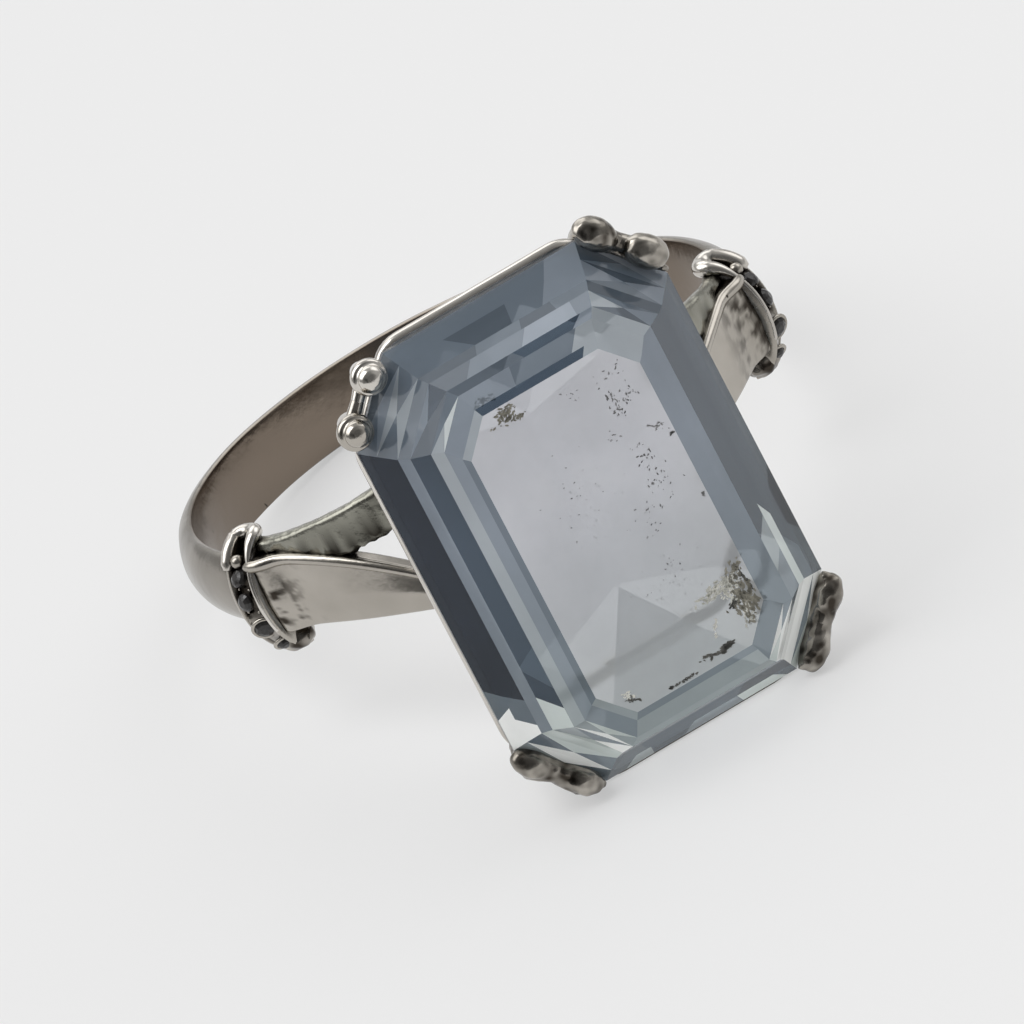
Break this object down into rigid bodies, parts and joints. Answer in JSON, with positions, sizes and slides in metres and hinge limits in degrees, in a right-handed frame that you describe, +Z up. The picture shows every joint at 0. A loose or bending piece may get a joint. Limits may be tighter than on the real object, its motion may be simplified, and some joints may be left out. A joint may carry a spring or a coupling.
{
  "type": "cocktail ring",
  "caption": "Cocktail ring with a large pale blue-grey step-cut stone held by paired ball-tipped claws on split shoulders, with stone-set collars on a plain half-round band.",
  "frame": {"origin": "on the floor, under the middle of the ring's box as it lies at rest", "axes": "+Z up. The ring lies tipped forward on its lower claws and the edge of its band: the stone faces -Y and 17 degrees up, its long side rises from the floor, and the band reaches back along +Y. +X runs from the left shoulder to the right shoulder."},
  "size_m": [0.0206, 0.0278, 0.0161],
  "materials": {
    "worn_silver": "worn polished silver",
    "tarnished_silver": "darkened silver in the recesses",
    "blue_grey_stone": "polished step cut, transparent",
    "dark_accent_stone": "polished small stones, dark with dirt"
  },
  "bodies": {
    "root": {"shank": "worn_silver", "collar_left": "worn_silver", "collar_right": "worn_silver", "arm_left_lower": "worn_silver", "arm_right_lower": "worn_silver", "claw_upper_left_side": "worn_silver", "claw_upper_left_end": "worn_silver", "claw_upper_right_side": "worn_silver", "claw_upper_right_end": "worn_silver", "claw_lower_left_side": "worn_silver", "claw_lower_left_end": "worn_silver", "claw_lower_right_side": "worn_silver", "claw_lower_right_end": "worn_silver", "arm_left_upper": "tarnished_silver", "arm_right_upper": "tarnished_silver", "gallery_rail_upper": "tarnished_silver", "gallery_rail_lower": "tarnished_silver", "centre_stone": "blue_grey_stone", "accent_stone_left_1": "dark_accent_stone", "accent_stone_left_2": "dark_accent_stone", "accent_stone_left_3": "dark_accent_stone", "accent_stone_left_4": "dark_accent_stone", "accent_stone_right_1": "dark_accent_stone", "accent_stone_right_2": "dark_accent_stone", "accent_stone_right_3": "dark_accent_stone", "accent_stone_right_4": "dark_accent_stone"}
  },
  "joints": []
}
